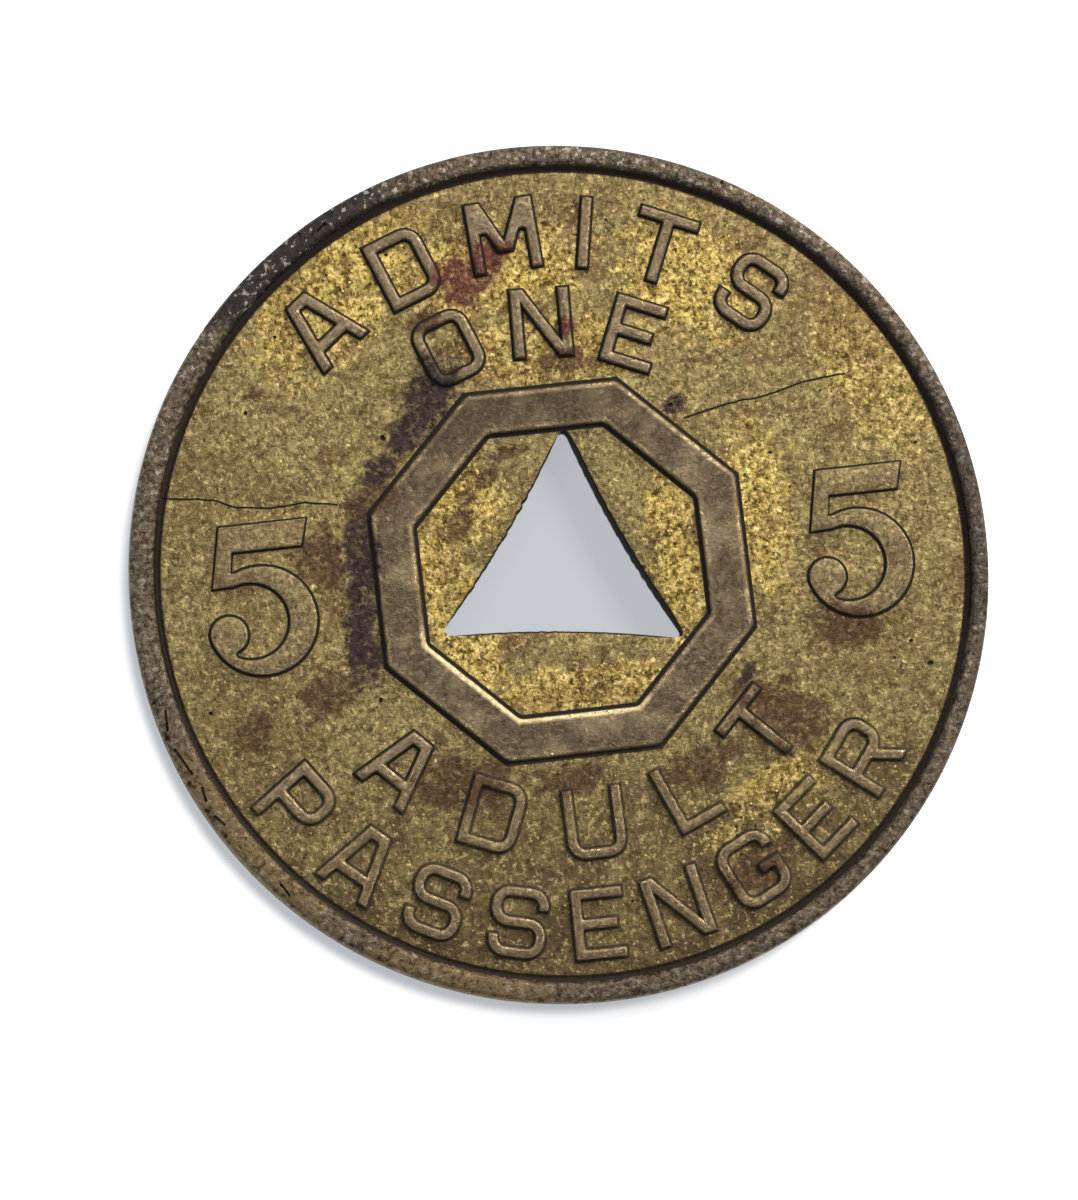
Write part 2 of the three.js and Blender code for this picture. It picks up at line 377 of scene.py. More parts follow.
def letter_body(letter, height):
    """One letter with its feet on y = 0 and its middle on x = 0."""
    half = LETTER_WIDTHS[letter] / 2
    right = half - PEN_TOP / 2
    left = -right
    foot = PEN_TOP / 2
    head = height - PEN_TOP / 2
    middle = height / 2
    waist = 0.45 * height
    hook = 0.25 * height
    apex = 0.17
    lip = (PEN - PEN_TOP) / 2
    low, high = -lip, height + lip
    bowl = [(left, low), (left, head), (right, head, "soft"), (right, waist, "soft"), (left, waist)]
    box = [(left, foot, "soft"), (right, foot, "soft"), (right, head, "soft"), (left, head, "soft")]
    drawn = {
        "A": lambda: [slant(left, low, -apex, high), mirrored(slant(left, low, -apex, high)),
                      bar((0.7 * left, 0.6), (0.7 * right, 0.6)), bar((-apex, head), (apex, head))],
        "D": lambda: [*stroke([(left - PEN / 2, foot), (right, foot, "soft"), (right, head, "soft"),
                               (left - PEN / 2, head)]), bar((left, foot), (left, head))],
        "E": lambda: [*stroke([(half + lip, head), (left, head), (left, foot), (half + lip, foot)]),
                      bar((left, middle), (0.75 * half + lip, middle))],
        "G": lambda: stroke([(right, head - hook - lip), box[2], box[3], box[0], box[1],
                             (right, waist), (0.1 - lip, waist)]),
        "I": lambda: [bar((0, low), (0, high))],
        "L": lambda: stroke([(left, high), (left, foot), (half + lip, foot)]),
        "M": lambda: [bar((left, low), (left, high)), bar((right, low), (right, high)),
                      slant(0, hook, 0.9 * left, high), mirrored(slant(0, hook, 0.9 * left, high)),
                      bar((left, 1.2), (0.4 * left, 1.2), 0.3), bar((right, 1.2), (0.4 * right, 1.2), 0.3)],
        "N": lambda: [bar((left, low), (left, high)), bar((right, low), (right, high)),
                      slant(right, low, left, high)],
        "O": lambda: [*stroke([(0, foot), box[1], box[2], (0, head)]),
                      *stroke([(0.1, head), box[3], box[0], (0.1, foot)])],
        "P": lambda: stroke(bowl),
        "R": lambda: [*stroke(bowl), slant(right, low, 0.1, waist)],
        "S": lambda: stroke([(right, head - hook - lip), box[2], box[3], (left, middle, "soft"),
                             (right, middle, "soft"), box[1], box[0], (left, foot + hook + lip)]),
        "T": lambda: [bar((-half - lip, head), (half + lip, head)), bar((0, low), (0, head))],
        "U": lambda: stroke([(left, high), box[0], box[1], (right, high)]),
    }
    return raise_slopes(united(drawn[letter]()), LETTER_SLOPE, 0.04)


def mirrored(body):
    """The same body on the other side of x = 0, with its faces still pointing out."""
    hold(body)
    bpy.ops.transform.mirror(constraint_axis=(True, False, False), center_override=(0, 0, 0))
    settle(body)
    edit(body)
    bpy.ops.mesh.select_all(action="SELECT")
    bpy.ops.mesh.normals_make_consistent(inside=False)
    done()
    return body


def letter_directions(word, middle_radius, first, last):
    """Directions of the letters' middles, with the same gap between all letters."""
    widths = [LETTER_WIDTHS[letter] for letter in word]
    steps = [(a + b) / 2 for a, b in zip(widths, widths[1:])]
    arc = math.radians(abs(last - first)) * middle_radius
    gap = (arc - sum(steps)) / len(steps)
    directions = [first]
    for step in steps:
        directions.append(directions[-1] + (last - first) * (step + gap) / arc)
    return directions


def letter_row(word, feet, height, first, last):
    outwards = last < first
    middle_radius = feet + (height / 2 if outwards else -height / 2)
    letters = []
    models = {letter: letter_body(letter, height) for letter in sorted(set(word))}
    for letter, direction in zip(word, letter_directions(word, middle_radius, first, last)):
        body = copy_of(models[letter])
        angle = math.radians(direction)
        place = Matrix.Translation((feet * math.cos(angle), feet * math.sin(angle), 0))
        turn = Matrix.Rotation(angle + math.radians(-90 if outwards else 90), 4, "Z")
        body.matrix_world = place @ turn
        letters.append(settle(body))
    for model in models.values():
        bpy.data.objects.remove(model)
    return letters


# ---- Octagon, numerals and hole ------------------------------------------------------------

def disc(radius, place=(0, 0), sides=64, low=ROOT_LEVEL, high=FOOT_LEVEL, turn=0):
    bpy.ops.mesh.primitive_cylinder_add(
        vertices=sides, radius=radius, depth=high - low,
        location=(place[0], place[1], (low + high) / 2), rotation=(0, 0, math.radians(turn)))
    return settle(bpy.context.object)


def octagon_frame():
    """An eight-sided block whose ends are inset and bridged into a frame."""
    body = disc(OCTAGON_OUTER, sides=8, turn=22.5)
    edit(body)
    pick(body, "faces", lambda face: abs(face.normal.z) > 0.99)
    band = (OCTAGON_OUTER - OCTAGON_INNER) * math.cos(math.radians(22.5))
    bpy.ops.mesh.inset(thickness=band, use_even_offset=True)
    bpy.ops.mesh.bridge_edge_loops()
    done()
    return raise_slopes(body, OCTAGON_SLOPE, 0.1)


def numeral():
    """A five about its own middle: a slanted flag and stem, a swelling bowl and a round ball."""
    bowl = disc(1.53, (-0.07, -0.54), sides=96)
    combine(bowl, disc(0.945, (-0.37, -0.53), sides=72, low=0, high=THICKNESS), "DIFFERENCE")
    combine(bowl, block((-2.2, -1.0, 0), (-0.6, 0.36, THICKNESS)), "DIFFERENCE")
    ball = disc(0.575, (-0.98, -0.83), sides=48)
    stem = slant(-1.08, 0.36, -0.74, 2.1, 0.54)
    flag = slant(0.19, 1.27, 0.39, 2.1, 2.08)
    joined = united([bowl, ball, stem, flag])
    return raise_slopes(joined, NUMERAL_SLOPE, 0.03, even=False)


def block(low, high):
    low, high = Vector(low), Vector(high)
    bpy.ops.mesh.primitive_cube_add(size=1, location=(low + high) / 2, scale=high - low)
    return settle(bpy.context.object)


def punch():
    """The punch: three-sided, with round corners, hollow torn sides and a flare at the upper face."""
    body = disc(HOLE_RADIUS, sides=3, low=-THICKNESS, high=FIELD - ROLLED)
    edit(body, "EDGE")
    pick(body, "edges", is_upright)
    bpy.ops.mesh.bevel(offset=HOLE_CORNER, segments=6)
    pick(body, "edges", lambda edge: not is_upright(edge) and edge.calc_length() > 1)
    bpy.ops.mesh.subdivide(number_cuts=HOLE_CUTS)
    mesh = bmesh.from_edit_mesh(body.data)
    for vertex in mesh.verts:
        hollow_side(vertex)
    bmesh.update_edit_mesh(body.data)
    bpy.ops.mesh.select_mode(type="FACE")
    pick(body, "faces", facing_up)
    for upwards, outwards in ROLLED_EDGE:
        bpy.ops.mesh.extrude_region_move(TRANSFORM_OT_translate={"value": (0, 0, upwards)})
        mesh = bmesh.from_edit_mesh(body.data)
        for vertex in mesh.verts:
            if vertex.select:
                flare_side(vertex, outwards)
        bmesh.update_edit_mesh(body.data)
    done()
    body.matrix_world = (Matrix.Translation((*HOLE_PLACE, 0))
                         @ Matrix.Rotation(math.radians(HOLE_TURN), 4, "Z"))
    return settle(body)


def is_upright(edge):
    return abs((edge.verts[1].co - edge.verts[0].co).normalized().z) > 0.99


def side_of(vertex):
    """The side that a point lies on: its direction, the way out, and how far along it."""
    ways = {d: Vector((math.cos(math.radians(d)), math.sin(math.radians(d)))) for d in HOLE_TORN}
    direction = max(ways, key=lambda d: vertex.co.xy.dot(ways[d]))
    return direction, ways[direction], vertex.co.xy.cross(ways[direction])


def hollow_side(vertex):
    """Moves a point of a straight side inwards, most at the side's middle."""
    direction, outwards, along = side_of(vertex)
    if abs(along) < HOLE_SIDE:
        fade = 1 - (along / HOLE_SIDE) ** 2
        torn = HOLE_TORN[direction] * noise.noise(Vector((along * 6, direction, 0)))
        vertex.co.xy -= outwards * (HOLE_BOW + torn) * fade


def flare_side(vertex, amount):
    """Moves a point of a straight side outwards, and not at all where the corner starts."""
    direction, outwards, along = side_of(vertex)
    if abs(along) < HOLE_SIDE:
        vertex.co.xy += outwards * amount * min(1, (HOLE_SIDE - abs(along)) / 0.5)


# ---- Wear ----------------------------------------------------------------------------------

def groove(points, width, level):
    """A square rod on its edge, pushed on from point to point, that cuts a V-shaped groove."""
    start, end = Vector(points[0]), Vector(points[1])
    run = end - start
    middle = (start + end) / 2
    bpy.ops.mesh.primitive_cube_add(
        size=1, location=(middle.x, middle.y, level),
        rotation=(math.radians(45), 0, math.atan2(run.y, run.x)),
        scale=(run.length, width, width))
    body = settle(bpy.context.object)
    for here, there in zip(points[1:], points[2:]):
        push_end(body, Vector(here), Vector(there) - Vector(here))
    return body


def wavering(corners, steps=5):
    """Points along a crack or a gouge, shaken a little off its straight legs."""
    points = [corners[0]]
    for start, end in zip(corners, corners[1:]):
        for i in range(1, steps + 1):
            x, y = Vector(start).lerp(Vector(end), i / steps)
            points.append((x, y + WAVER * noise.noise(Vector((x * 2.7, y, 3)))))
    return points


def pit(x, y, radius):
    """A ball, a little squashed, that sinks most of the way into the field."""
    bpy.ops.mesh.primitive_ico_sphere_add(
        subdivisions=2, radius=radius, location=(x, y, FIELD + 0.25 * radius),
        rotation=(0, 0, x), scale=(1, 0.75, 0.9))
    return settle(bpy.context.object)


def nick(direction, width):
    """A notch across the rounded outer edge of the rim."""
    out = Vector((math.cos(math.radians(direction)), math.sin(math.radians(direction))))
    return groove([out * NICK_START, out * NICK_END], width, NICK_LEVEL)


def gouge(first, first_radius, last, last_radius):
    """A short wavering cut along the crest of the rim."""
    ends = []
    for direction, radius in ((first, first_radius), (last, last_radius)):
        angle = math.radians(direction)
        ends.append((radius * math.cos(angle), radius * math.sin(angle)))
    return groove(wavering(ends), GOUGE_WIDTH, GOUGE_LEVEL)


def wear_tools():
    """Everything that dug into the token after it was struck, as bodies that don't touch."""
    cracks = [groove(wavering(corners), CRACK_WIDTH, CRACK_LEVEL) for corners in CRACKS]
    pits = [pit(*place) for place in PITS]
    nicks = [nick(*place) for place in NICKS]
    gouges = [gouge(*place) for place in GOUGES]
    return gathered([*cracks, *pits, *nicks, *gouges])


def is_inside_rim(vertex):
    return vertex.co.xy.length < WAVE_REACH and abs(vertex.co.z) > FIELD - 0.1


def note_rise(token):
    """Keeps each point's height above the struck field, which tells the grime and the painted shade where
    to sit.
    """
    rise = token.data.attributes.new("rise", "FLOAT", "POINT")
    for value, vertex in zip(rise.data, token.data.vertices):
        value.value = abs(vertex.co.z) - FIELD


def make_uneven(token):
    """Cuts the faces into small squares and lifts them in slow waves, as a worn die does."""
    edit(token)
    for normal in ((1, 0, 0), (0, 1, 0)):
        for i in range(math.floor(-RADIUS / WAVE_STEP), math.ceil(RADIUS / WAVE_STEP)):
            place = Vector(normal) * ((i + 0.5) * WAVE_STEP)
            bpy.ops.mesh.select_all(action="SELECT")
            bpy.ops.mesh.bisect(plane_co=place, plane_no=normal)
    mesh = bmesh.from_edit_mesh(token.data)
    for vertex in mesh.verts:
        if is_inside_rim(vertex):
            fade = min(1, (WAVE_REACH - vertex.co.xy.length) / WAVE_FADE)
            side = math.copysign(1, vertex.co.z)
            wave = noise.noise(Vector((vertex.co.x, vertex.co.y, 5 * side)) / WAVE_LENGTH * 2)
            vertex.co.z += side * WAVE_HEIGHT * fade * wave
    bmesh.update_edit_mesh(token.data)
    done()


# ---- The whole token -----------------------------------------------------------------------

def face_relief():
    """All the raised work of one face, as bodies that don't touch."""
    five = numeral()
    fives = []
    for place in NUMERAL_PLACES:
        body = copy_of(five)
        body.location = (*place, 0)
        fives.append(settle(body))
    bpy.data.objects.remove(five)
    letters = [letter for row in ROWS for letter in letter_row(*row)]
    return gathered([octagon_frame(), *fives, *letters])


def struck_token():
    """Strikes both faces, punches the hole and reduces the work to its real size."""
    obverse = face_relief()
    reverse = copy_of(obverse)
    reverse.matrix_world = Matrix.Rotation(math.pi, 4, "Y")
    settle(reverse)
    token = blank()
    combine(token, obverse, "UNION")
    combine(token, reverse, "UNION")
    combine(token, punch(), "DIFFERENCE")
    combine(token, wear_tools(), "DIFFERENCE")
    note_rise(token)
    make_uneven(token)
    token.name = token.data.name = "brass_token"
    token.location = (0, 0, MIDDLE * REAL_SIZE)
    token.scale = (REAL_SIZE,) * 3
    return settle(token)


# ---- Camera, lights and table ---------------------------------------------------------------

DESIGN_TURN = math.radians(6.8)                    # the design stands turned anticlockwise
VIEW_RIGHT = Vector((math.cos(DESIGN_TURN), -math.sin(DESIGN_TURN), 0))
VIEW_UP = Vector((math.sin(DESIGN_TURN), math.cos(DESIGN_TURN), 0))


def look(place, target, up):
    """A turn that faces from a place to a target with one direction upwards."""
    back = (place - target).normalized()
    side = up.cross(back).normalized()
    return Matrix((side, back.cross(side), back)).transposed().to_4x4()


def add_camera():
    """A long lens above the token, tipped seven and a half degrees towards its lower left."""
    tilt, towards = math.radians(7.5), math.radians(230)
    frame_height, lens, sensor = 31.87, 120.0, 36.0
    distance = frame_height * lens / sensor
    target = Vector((0, 0, THICKNESS)) - VIEW_RIGHT * 0.64 - VIEW_UP * 0.82
    lean = VIEW_RIGHT * math.cos(towards) + VIEW_UP * math.sin(towards)
    place = target + (lean * math.sin(tilt) + Vector((0, 0, math.cos(tilt)))) * distance
    data = bpy.data.cameras.new("view")
    data.lens = lens
    data.sensor_width = sensor
    data.clip_start = 0.001
    camera = bpy.data.objects.new("view", data)
    bpy.context.scene.collection.objects.link(camera)
    camera.matrix_world = Matrix.Translation(place * REAL_SIZE) @ look(place, target, VIEW_UP)
    bpy.context.scene.camera = camera


def add_soft_box(name, direction, height, distance, size, power, colour):
    """A square lamp in a direction of the view, in degrees anticlockwise from its right."""
    angle, rise = math.radians(direction), math.radians(height)
    level = VIEW_RIGHT * math.cos(angle) + VIEW_UP * math.sin(angle)
    place = (level * math.cos(rise) + Vector((0, 0, math.sin(rise)))) * distance
    data = bpy.data.lights.new(name, "AREA")
    data.size = size * REAL_SIZE
    data.energy = power
    data.color = colour
    lamp = bpy.data.objects.new(name, data)
    bpy.context.scene.collection.objects.link(lamp)
    lamp.matrix_world = Matrix.Translation(place * REAL_SIZE) @ look(place, Vector(), Vector((0, 0, 1)))


def add_room():
    """Soft, even light from all round."""
    world = bpy.data.worlds.new("room")
    world.use_nodes = True
    world.node_tree.nodes["Background"].inputs["Color"].default_value = (0.78, 0.8, 0.84, 1)
    world.node_tree.nodes["Background"].inputs["Strength"].default_value = 0.36
    bpy.context.scene.world = world


def add_table():
    """A wide pale table top that the token lies on."""
    bpy.ops.mesh.primitive_plane_add(size=1.2, location=(0, 0, 0))
    table = bpy.context.object
    table.name = "table"
    table.data.materials.append(matt_white_board())


# ---- Materials -----------------------------------------------------------------------------

def linear(hex_colour):
    """A hex sRGB colour as linear red, green, blue and full alpha."""
    channels = [int(hex_colour[i:i + 2], 16) / 255 for i in (1, 3, 5)]
    return [c / 12.92 if c <= 0.04045 else ((c + 0.055) / 1.055) ** 2.4 for c in channels] + [1.0]


def node(tree, kind, sockets=None, out=0, **settings):
    """Adds a node, fills or links its sockets, and returns one of its outputs."""
    made = tree.nodes.new("ShaderNode" + kind)
    for name, value in settings.items():
        setattr(made, name, value)
    for socket, value in (sockets or {}).items():
        if isinstance(value, bpy.types.NodeSocket):
            tree.links.new(value, made.inputs[socket])
        else:
            made.inputs[socket].default_value = value
    return made.outputs[out]


def new_material(name):
    material = bpy.data.materials.new(name)
    material.use_nodes = True
    return material, material.node_tree, material.node_tree.nodes["Principled BSDF"]


def matt_white_board():
    """Matt white board, lit through like a light table, with a painted grey shadow under the token that
    shows through its hole and as a crescent at its lower left.
    """
    material, tree, shader = new_material("matt_white_board")
    place = node(tree, "TexCoord", out=3)
    # Painted shadow: a disc round a point a little to the lower left of the token's middle, greyer and
    # glowing less
    away = node(tree, "VectorMath", {0: place, 1: (-0.00022, -0.00024, 0)}, out=1, operation="DISTANCE")
    outside_painted_shadow = node(tree, "MapRange", {0: away, 1: 0.0113, 2: 0.01165}, interpolation_type="SMOOTHSTEP")
    colour = blend(tree, outside_painted_shadow, linear("#54565A"), linear("#F2F3F4"))
    glow = blend(tree, outside_painted_shadow, linear("#DDE1E7"), linear("#FFFFFF"))
    tree.links.new(colour, shader.inputs["Base Color"])
    tree.links.new(glow, shader.inputs["Emission Color"])
    shader.inputs["Emission Strength"].default_value = 0.6
    shader.inputs["Roughness"].default_value = 0.7
    return material


def spots(tree, place, patches, ragged):
    """Mask of oval patches (x, y, length, width, turn), in millimetres, with ragged edges."""
    edge = node(tree, "TexNoise", {"Vector": place, "Scale": 2.2, "Detail": 5, "Roughness": 0.65})
    edge = node(tree, "Math", {0: edge, 1: 0.5}, operation="SUBTRACT")
    edge = node(tree, "Math", {0: edge, 1: ragged}, operation="MULTIPLY")
    mask = None
    for x, y, length, width, turn in patches:
        near = node(tree, "Mapping", {
            "Vector": place, "Location": (x, y, 0), "Rotation": (0, 0, math.radians(turn)),
            "Scale": (length / 2, width / 2, 1e6)}, vector_type="TEXTURE")
        reach = node(tree, "VectorMath", {0: near}, out=1, operation="LENGTH")
        reach = node(tree, "Math", {0: reach, 1: edge}, operation="ADD")
        spot = node(tree, "MapRange", {0: reach, 1: 1.15, 2: 0.6}, interpolation_type="SMOOTHSTEP")
        mask = spot if mask is None else node(tree, "Math", {0: mask, 1: spot}, operation="MAXIMUM")
    return mask


def blend(tree, mask, under, over):
    """Lays one colour over another where a mask is high."""
    return node(tree, "Mix", {0: mask, 6: under, 7: over}, out=2, data_type="RGBA")


# Stains on the face that lies up, then painted highlights on two octagon edges, toned and golden areas:
# place, length, width, turn
PURPLE_STAINS = [(-3.0, 5.0, 2.9, 1.6, 62), (-3.7, 4.1, 1.6, 1.0, 50), (-4.5, 3.2, 1.3, 0.8, 40),
                 (-5.3, 1.0, 2.6, 1.2, 95), (-5.35, -0.2, 1.5, 0.9, 80), (-5.5, -1.4, 2.3, 1.2, 85),
                 (3.5, 4.15, 0.75, 0.5, 20), (4.6, -3.3, 0.7, 0.4, 60)]
RED_STAINS = [(-1.7, 8.1, 2.0, 1.5, 10), (-0.9, 8.6, 1.2, 1.1, 0), (0.9, 6.5, 0.8, 0.6, 20)]
BROWN_STAINS = [(-2.55, 1.55, 1.0, 0.8, 70), (-2.35, 2.2, 0.8, 0.5, 30), (-1.7, 2.7, 1.0, 0.5, 30),
                (-1.2, 3.3, 1.2, 0.45, 15), (-6.3, 0.9, 2.0, 1.7, 90), (5.2, -4.1, 2.6, 1.5, -20),
                (5.9, -4.9, 1.9, 1.2, 30), (7.4, -2.3, 2.4, 1.2, -15), (-3.2, -5.4, 2.8, 1.5, 0),
                (-6.5, -2.6, 1.8, 1.4, 40), (-7.6, 5.6, 0.6, 0.45, 0),
                (3.1, -5.6, 2.6, 1.2, 20), (-2.9, 7.0, 1.1, 0.8, 30),
                (-4.9, 2.4, 1.9, 0.9, 20), (0.7, 5.6, 2.0, 0.7, 0), (-0.4, -5.6, 2.0, 1.0, 0),
                (4.3, -8.4, 2.6, 1.0, 25), (-8.6, -3.4, 1.4, 1.0, 50)]
OCTAGON_HIGHLIGHT_PATCHES = [(-2.7, -2.75, 4.6, 0.9, -47), (0.2, -3.75, 4.4, 0.7, 0)]
TONED_AREAS = [(-0.5, 9.8, 8.0, 1.8, 0), (0.3, 5.7, 6.0, 1.8, 0), (-8.6, -3.4, 4.5, 3.5, 45),
               (0.2, -3.7, 6.0, 1.6, 0), (8.0, -2.6, 4.0, 3.0, 0), (8.2, 6.0, 4.0, 2.5, -40),
               (-9.0, 2.6, 3.0, 5.0, 0)]
GOLDEN_AREAS = [(-5.0, 8.3, 6.5, 3.4, 42), (-1.0, 8.2, 6.0, 2.8, 5), (0.3, 5.9, 6.0, 1.9, 0),
                (3.1, 0.0, 1.7, 5.8, 0), (-2.9, -1.0, 1.8, 5.8, 15), (8.9, 4.4, 2.4, 5.2, 25),
                (4.7, -6.9, 5.2, 2.0, 40), (0.2, -3.2, 5.8, 1.5, 0),
                (5.4, 1.0, 2.0, 5.0, 0), (4.5, 7.5, 4.6, 3.2, -35), (-2.6, 2.3, 2.4, 3.0, 45)]


def dots(tree, place, spacing, size, share):
    """Scattered round dots: how far apart, how large, and the share of places that has one."""
    cell = {"Vector": place, "Scale": 1 / spacing, "Randomness": 1}
    near = node(tree, "TexVoronoi", cell, voronoi_dimensions="2D")
    own_colour = node(tree, "TexVoronoi", cell, out=1, voronoi_dimensions="2D")
    chance = node(tree, "SeparateColor", {0: own_colour})
    there = node(tree, "Math", {0: chance, 1: share}, operation="LESS_THAN")
    reach = size / spacing / 2
    round_dot = node(tree, "MapRange", {0: near, 1: 1.25 * reach, 2: 0.75 * reach})
    return node(tree, "Math", {0: round_dot, 1: there}, operation="MULTIPLY")


def readings(tree):
    """What the coats of the brass go by: place in millimetres, height above the field, noises."""
    place = node(tree, "TexCoord", out=3)
    place = node(tree, "VectorMath", {0: place, 1: (1000, 1000, 1000)}, operation="MULTIPLY")
    x, y, z = (node(tree, "SeparateXYZ", {0: place}, out=i) for i in range(3))
    rise = node(tree, "Attribute", out=2, attribute_name="rise")
    flat = node(tree, "CombineXYZ", {0: x, 1: y})
    from_middle = node(tree, "VectorMath", {0: flat}, out=1, operation="LENGTH")
    upper = node(tree, "Math", {0: z, 1: MIDDLE}, operation="GREATER_THAN")

    # Grains of about a seventh of a millimetre, clouds of about one, grit and short scratches
    grain = node(tree, "TexNoise", {"Vector": place, "Scale": 7, "Detail": 5, "Roughness": 0.7,
                                    "Distortion": 0.6})
    cloud = node(tree, "TexNoise", {"Vector": place, "Scale": 0.9, "Detail": 5, "Roughness": 0.6})
    grit = node(tree, "TexNoise", {"Vector": place, "Scale": 6, "Detail": 3, "Roughness": 0.6})
    scratch = node(tree, "Mapping", {"Vector": place, "Rotation": (0, 0, 0.25), "Scale": (6.5, 1.6, 1)})
    scratch = node(tree, "TexNoise", {"Vector": scratch, "Scale": 1, "Detail": 3, "Roughness": 0.65})
    tone = node(tree, "MapRange", {0: grain, 1: 0.34, 2: 0.66})
    soft_tone = node(tree, "MapRange", {0: grain, 1: 0.32, 2: 0.68})
    return SimpleNamespace(
        place=place, x=x, y=y, rise=rise, flat=flat, from_middle=from_middle, upper=upper,
        grain=grain, cloud=cloud, grit=grit, scratch=scratch, tone=tone, soft_tone=soft_tone)


GOLDEN_TONES = ((0.33, "#463615"), (0.42, "#7A6634"), (0.52, "#AB914D"), (0.66, "#DEC67C"))


def pebbled_field(tree, at):
    """The struck skin of the fields: dull olive, golden where it's rubbed, drifting to brown."""
    dull_skin = blend(tree, at.tone, linear("#5C4F31"), linear("#93835A"))
    golden_skin = node(tree, "ValToRGB", {0: at.grain})
    ramp = golden_skin.node.color_ramp
    for i, (position, tone) in enumerate(GOLDEN_TONES):
        stop = ramp.elements.new(position) if i else ramp.elements[0]
        stop.position = position
        stop.color = linear(tone)
    golden = spots(tree, at.flat, GOLDEN_AREAS, 2.2)
    golden_share = node(tree, "MapRange", {0: at.x, 1: 4.0, 2: 9.0, 3: 1.0, 4: 0.6})
    golden = node(tree, "Math", {0: golden, 1: golden_share}, operation="MULTIPLY")
    golden = node(tree, "MapRange", {0: golden, 3: 0.15, 4: 1.0})
    field = blend(tree, golden, dull_skin, golden_skin)

    # Brown toning drifts over the skin, and settles in the part nearest the lower letters
    toned = node(tree, "MapRange", {0: at.cloud, 1: 0.5, 2: 0.66, 4: 0.75})
    toned_area = spots(tree, at.flat, TONED_AREAS, 2.0)
    toned_area = node(tree, "Math", {0: toned_area, 1: 0.4}, operation="MULTIPLY")
    toned = node(tree, "Math", {0: toned, 1: toned_area}, operation="MAXIMUM")
    field = blend(tree, toned, field, linear("#5F4831"))
    low_side = node(tree, "MapRange", {0: at.y, 1: -3.0, 2: -8.5, 4: 0.9})
    low_side = node(tree, "Math", {0: low_side, 1: at.upper}, operation="MULTIPLY")
    uneven = node(tree, "MapRange", {0: at.cloud, 1: 0.38, 2: 0.55, 3: 0.45, 4: 1.0})
    low_side = node(tree, "Math", {0: low_side, 1: uneven}, operation="MULTIPLY")
    field = blend(tree, low_side, field, linear("#54452F"))
    return peppered(tree, at, golden, field)


def peppered(tree, at, golden, field):
    """Specks of dirt, short scratches, and bare flecks that catch the light."""
    busy = node(tree, "MapRange", {0: golden, 1: 0.15, 2: 1.0, 3: 0.5, 4: 0.8})
    specks = node(tree, "MapRange", {0: at.grit, 1: 0.585, 2: 0.62, 4: 0.95})
    strokes = node(tree, "MapRange", {0: at.scratch, 1: 0.6, 2: 0.64, 4: 0.75})
    specks = node(tree, "Math", {0: specks, 1: strokes}, operation="MAXIMUM")
    dirt = dots(tree, at.place, 0.3, 0.085, 0.35)
    specks = node(tree, "Math", {0: specks, 1: dirt}, operation="MAXIMUM")
    specks = node(tree, "Math", {0: specks, 1: busy}, operation="MULTIPLY")
    field = blend(tree, specks, field, linear("#2C200B"))
    flecks = node(tree, "MapRange", {0: at.grit, 1: 0.41, 2: 0.37, 4: 0.75})
    streaks = node(tree, "MapRange", {0: at.scratch, 1: 0.37, 2: 0.32, 4: 0.6})
    flecks = node(tree, "Math", {0: flecks, 1: streaks}, operation="MAXIMUM")
    sparks = dots(tree, at.place, 0.25, 0.06, 0.3)
    flecks = node(tree, "Math", {0: flecks, 1: sparks}, operation="MAXIMUM")
    bright_share = node(tree, "MapRange", {0: golden, 1: 0.15, 2: 1.0, 3: 0.35, 4: 0.65})
    flecks = node(tree, "Math", {0: flecks, 1: bright_share}, operation="MULTIPLY")
    return blend(tree, flecks, field, linear("#E6D28C"))


def numeral_areas(tree, at):
    """Mask of the two areas beside the octagon that hold the numerals, whose relief is lower."""
    beside = node(tree, "Math", {0: at.x}, operation="ABSOLUTE")
    beside = node(tree, "Math", {0: beside, 1: 6.2}, operation="GREATER_THAN")
    between = node(tree, "Math", {0: at.y}, operation="ABSOLUTE")
    between = node(tree, "Math", {0: between, 1: 2.5}, operation="LESS_THAN")
    return node(tree, "Math", {0: beside, 1: between}, operation="MULTIPLY")


def worn_tops(tree, at, lifted, low_relief, field):
    """The tops: grey-brown toning, mottled on the octagon, and fainter on numerals and low rows."""
    top = blend(tree, at.soft_tone, linear("#5E4F3D"), linear("#8E7C62"))
    on_top = node(tree, "MapRange", {0: lifted, 1: 0.09, 2: 0.13}, interpolation_type="SMOOTHSTEP")
    top_share = node(tree, "MapRange", {0: low_relief, 3: 1.0, 4: 0.4})
    on_top = node(tree, "Math", {0: on_top, 1: top_share}, operation="MULTIPLY")
    low_share = node(tree, "MapRange", {0: at.y, 1: -4.9, 2: -5.2, 3: 1.0, 4: 0.55})
    on_top = node(tree, "Math", {0: on_top, 1: low_share}, operation="MULTIPLY")
    on_octagon = node(tree, "MapRange", {0: at.from_middle, 1: 5.6, 2: 5.5})
    octagon_top = blend(tree, at.soft_tone, linear("#44382B"), linear("#6F614C"))
    worn_patches = node(tree, "MapRange", {0: at.cloud, 1: 0.48, 2: 0.62, 4: 0.75})
    octagon_top = blend(tree, worn_patches, octagon_top, linear("#8A7A5E"))
    dark_top = node(tree, "MapRange", {0: at.y, 1: 2.5, 2: 4.5, 4: 0.6})
    octagon_top = blend(tree, dark_top, octagon_top, linear("#43382B"))
    top = blend(tree, on_octagon, top, octagon_top)
    return blend(tree, on_top, field, top)


